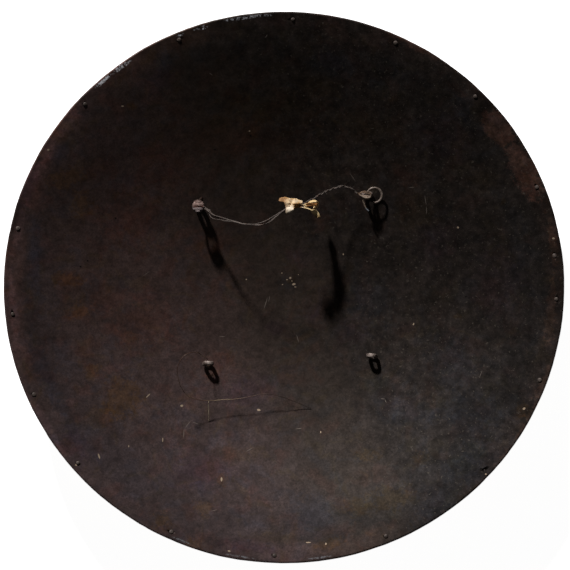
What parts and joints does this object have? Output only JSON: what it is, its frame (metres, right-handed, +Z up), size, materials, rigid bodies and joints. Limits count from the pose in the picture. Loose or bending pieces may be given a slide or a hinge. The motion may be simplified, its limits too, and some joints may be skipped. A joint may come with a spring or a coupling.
{
  "type": "sipar",
  "caption": "Round, shallow-domed iron shield resting hollow side up, with forged eye bolts for grips, loose rings, an old suspension wire and a tape scrap.",
  "frame": {"origin": "on the floor plane under the middle of the round bowl, which lies on the flat ends of its eye bolts", "axes": "+Z up, out of the hollow inside; +Y towards the shield's top edge; +X to the right, looking into the hollow"},
  "size_m": [0.4806, 0.473, 0.0723],
  "materials": {
    "bowl_iron": "old forged iron, dark brown patina with rust patches, dull",
    "boss_iron": "old forged iron, dark brown patina, dull",
    "fitting_iron": "worn forged iron, brownish grey",
    "wire_iron": "dull grey iron wire, spotted with rust",
    "fine_wire_brown": "brown weathered thin wire",
    "tape_cloth": "cream and straw-coloured cloth tape, creased"
  },
  "bodies": {
    "root": {"shield_bowl": "bowl_iron", "boss_top_left": "boss_iron", "eye_bolt_top_left": "fitting_iron", "boss_top_right": "boss_iron", "eye_bolt_top_right": "fitting_iron", "boss_bottom_left": "boss_iron", "eye_bolt_bottom_left": "fitting_iron", "boss_bottom_right": "boss_iron", "eye_bolt_bottom_right": "fitting_iron", "rim_rivet_01": "fitting_iron", "rim_rivet_02": "fitting_iron", "rim_rivet_03": "fitting_iron", "rim_rivet_04": "fitting_iron", "rim_rivet_05": "fitting_iron", "rim_rivet_06": "fitting_iron", "rim_rivet_07": "fitting_iron", "rim_rivet_08": "fitting_iron", "rim_rivet_09": "fitting_iron", "rim_rivet_10": "fitting_iron", "rim_rivet_11": "fitting_iron", "rim_rivet_12": "fitting_iron", "rim_rivet_13": "fitting_iron", "rim_rivet_14": "fitting_iron", "rim_rivet_15": "fitting_iron", "rim_rivet_16": "fitting_iron", "ring_left": "fitting_iron", "ring_right": "fitting_iron", "suspension_wire": "wire_iron", "wire_winding_left": "wire_iron", "wire_winding_right": "wire_iron", "fine_wire": "fine_wire_brown", "fine_wire_stub": "fine_wire_brown", "tape_scrap": "tape_cloth"}
  },
  "joints": []
}
